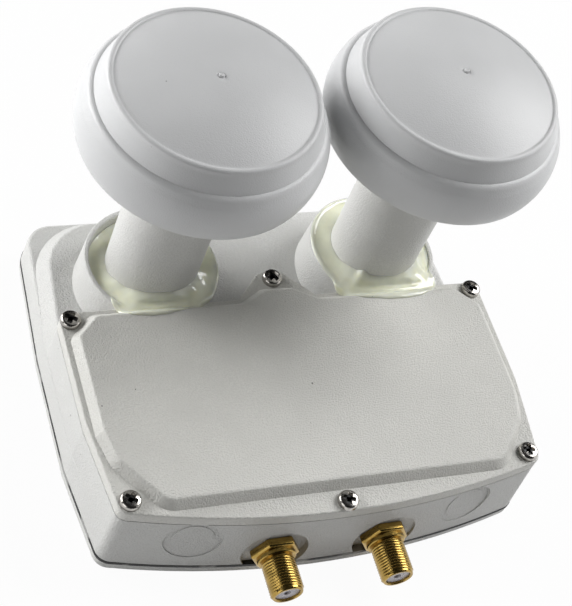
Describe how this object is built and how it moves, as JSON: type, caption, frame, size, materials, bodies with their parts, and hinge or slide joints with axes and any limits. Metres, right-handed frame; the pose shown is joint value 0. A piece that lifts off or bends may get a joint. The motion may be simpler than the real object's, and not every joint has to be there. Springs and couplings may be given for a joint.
{
  "type": "satellite converter",
  "caption": "Satellite converter with capped feeds on round necks, a flat cast body with a screwed cover, and threaded coaxial connectors.",
  "frame": {"origin": "on the flat outside of the rear cover, midway between the two feed axes", "axes": "+Z along the feeds towards the caps, -Y towards the connectors, +X to the right seen from the connectors with the feeds up"},
  "size_m": [0.1355, 0.1298, 0.1064],
  "materials": {
    "body_paint": "off-white powder coat with a fine pebbled texture on a casting",
    "neck_paint": "off-white powder coat on a turned casting",
    "cap_plastic": "satin light grey moulding",
    "bright_screws": "bright nickel plate",
    "plain_screws": "zinc plate",
    "seal_rubber": "black sealing rubber",
    "sealant": "glossy cream compound",
    "connector_gold": "gold-coloured plate",
    "contact_brass": "plain brass",
    "insulator": "white moulding",
    "board": "green solder mask",
    "shield_alloy": "bare casting",
    "package_black": "black moulding",
    "puck_ceramic": "unglazed",
    "can_aluminium": "plain can"
  },
  "bodies": {
    "root": {"housing": "body_paint", "front_cover": "body_paint", "rear_cover": "body_paint", "feed_horn_left": "neck_paint", "feed_horn_right": "neck_paint", "feed_cap_left": "cap_plastic", "feed_cap_right": "cap_plastic", "front_cover_screws": "bright_screws", "rear_cover_screws": "plain_screws", "rf_shield_screws": "plain_screws", "switch_board_screws": "plain_screws", "front_gasket": "seal_rubber", "rear_gasket": "seal_rubber", "cap_seal_left": "seal_rubber", "cap_seal_right": "seal_rubber", "sealant_left": "sealant", "sealant_right": "sealant", "connector_shell_left": "connector_gold", "connector_shell_right": "connector_gold", "connector_contact_left": "contact_brass", "connector_contact_right": "contact_brass", "tuning_screws": "contact_brass", "polarisation_probes": "contact_brass", "connector_insulator_left": "insulator", "connector_insulator_right": "insulator", "rf_board": "board", "switch_board": "board", "rf_shield": "shield_alloy", "low_noise_transistors": "package_black", "mixer_chips": "package_black", "switch_chip": "package_black", "voltage_regulator": "package_black", "board_link": "package_black", "dielectric_resonators": "puck_ceramic", "storage_capacitors": "can_aluminium"}
  },
  "joints": []
}
